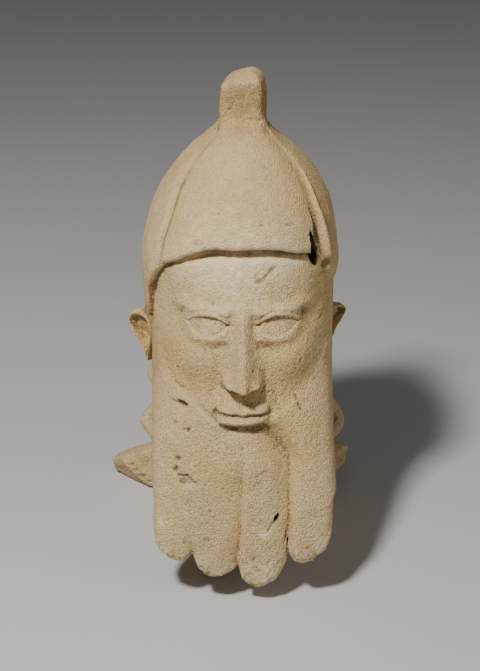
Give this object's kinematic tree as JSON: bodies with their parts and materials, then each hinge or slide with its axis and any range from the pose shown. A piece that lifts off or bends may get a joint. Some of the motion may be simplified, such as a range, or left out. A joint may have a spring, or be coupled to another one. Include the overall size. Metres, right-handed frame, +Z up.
{
  "type": "carved stone head",
  "caption": "Colossal carved limestone head with a tall pointed helmet and a long beard of round locks, broken off at the neck and standing on that break.",
  "frame": {"origin": "middle of the neck's width on the flat underside that the head stands on", "axes": "+Z up to the knob of the helmet, -Y the way the face looks, +X to the viewer's right"},
  "size_m": [0.4744, 0.5745, 0.878],
  "materials": {
    "limestone": null
  },
  "bodies": {
    "root": {"stone_head": "limestone"}
  },
  "joints": []
}
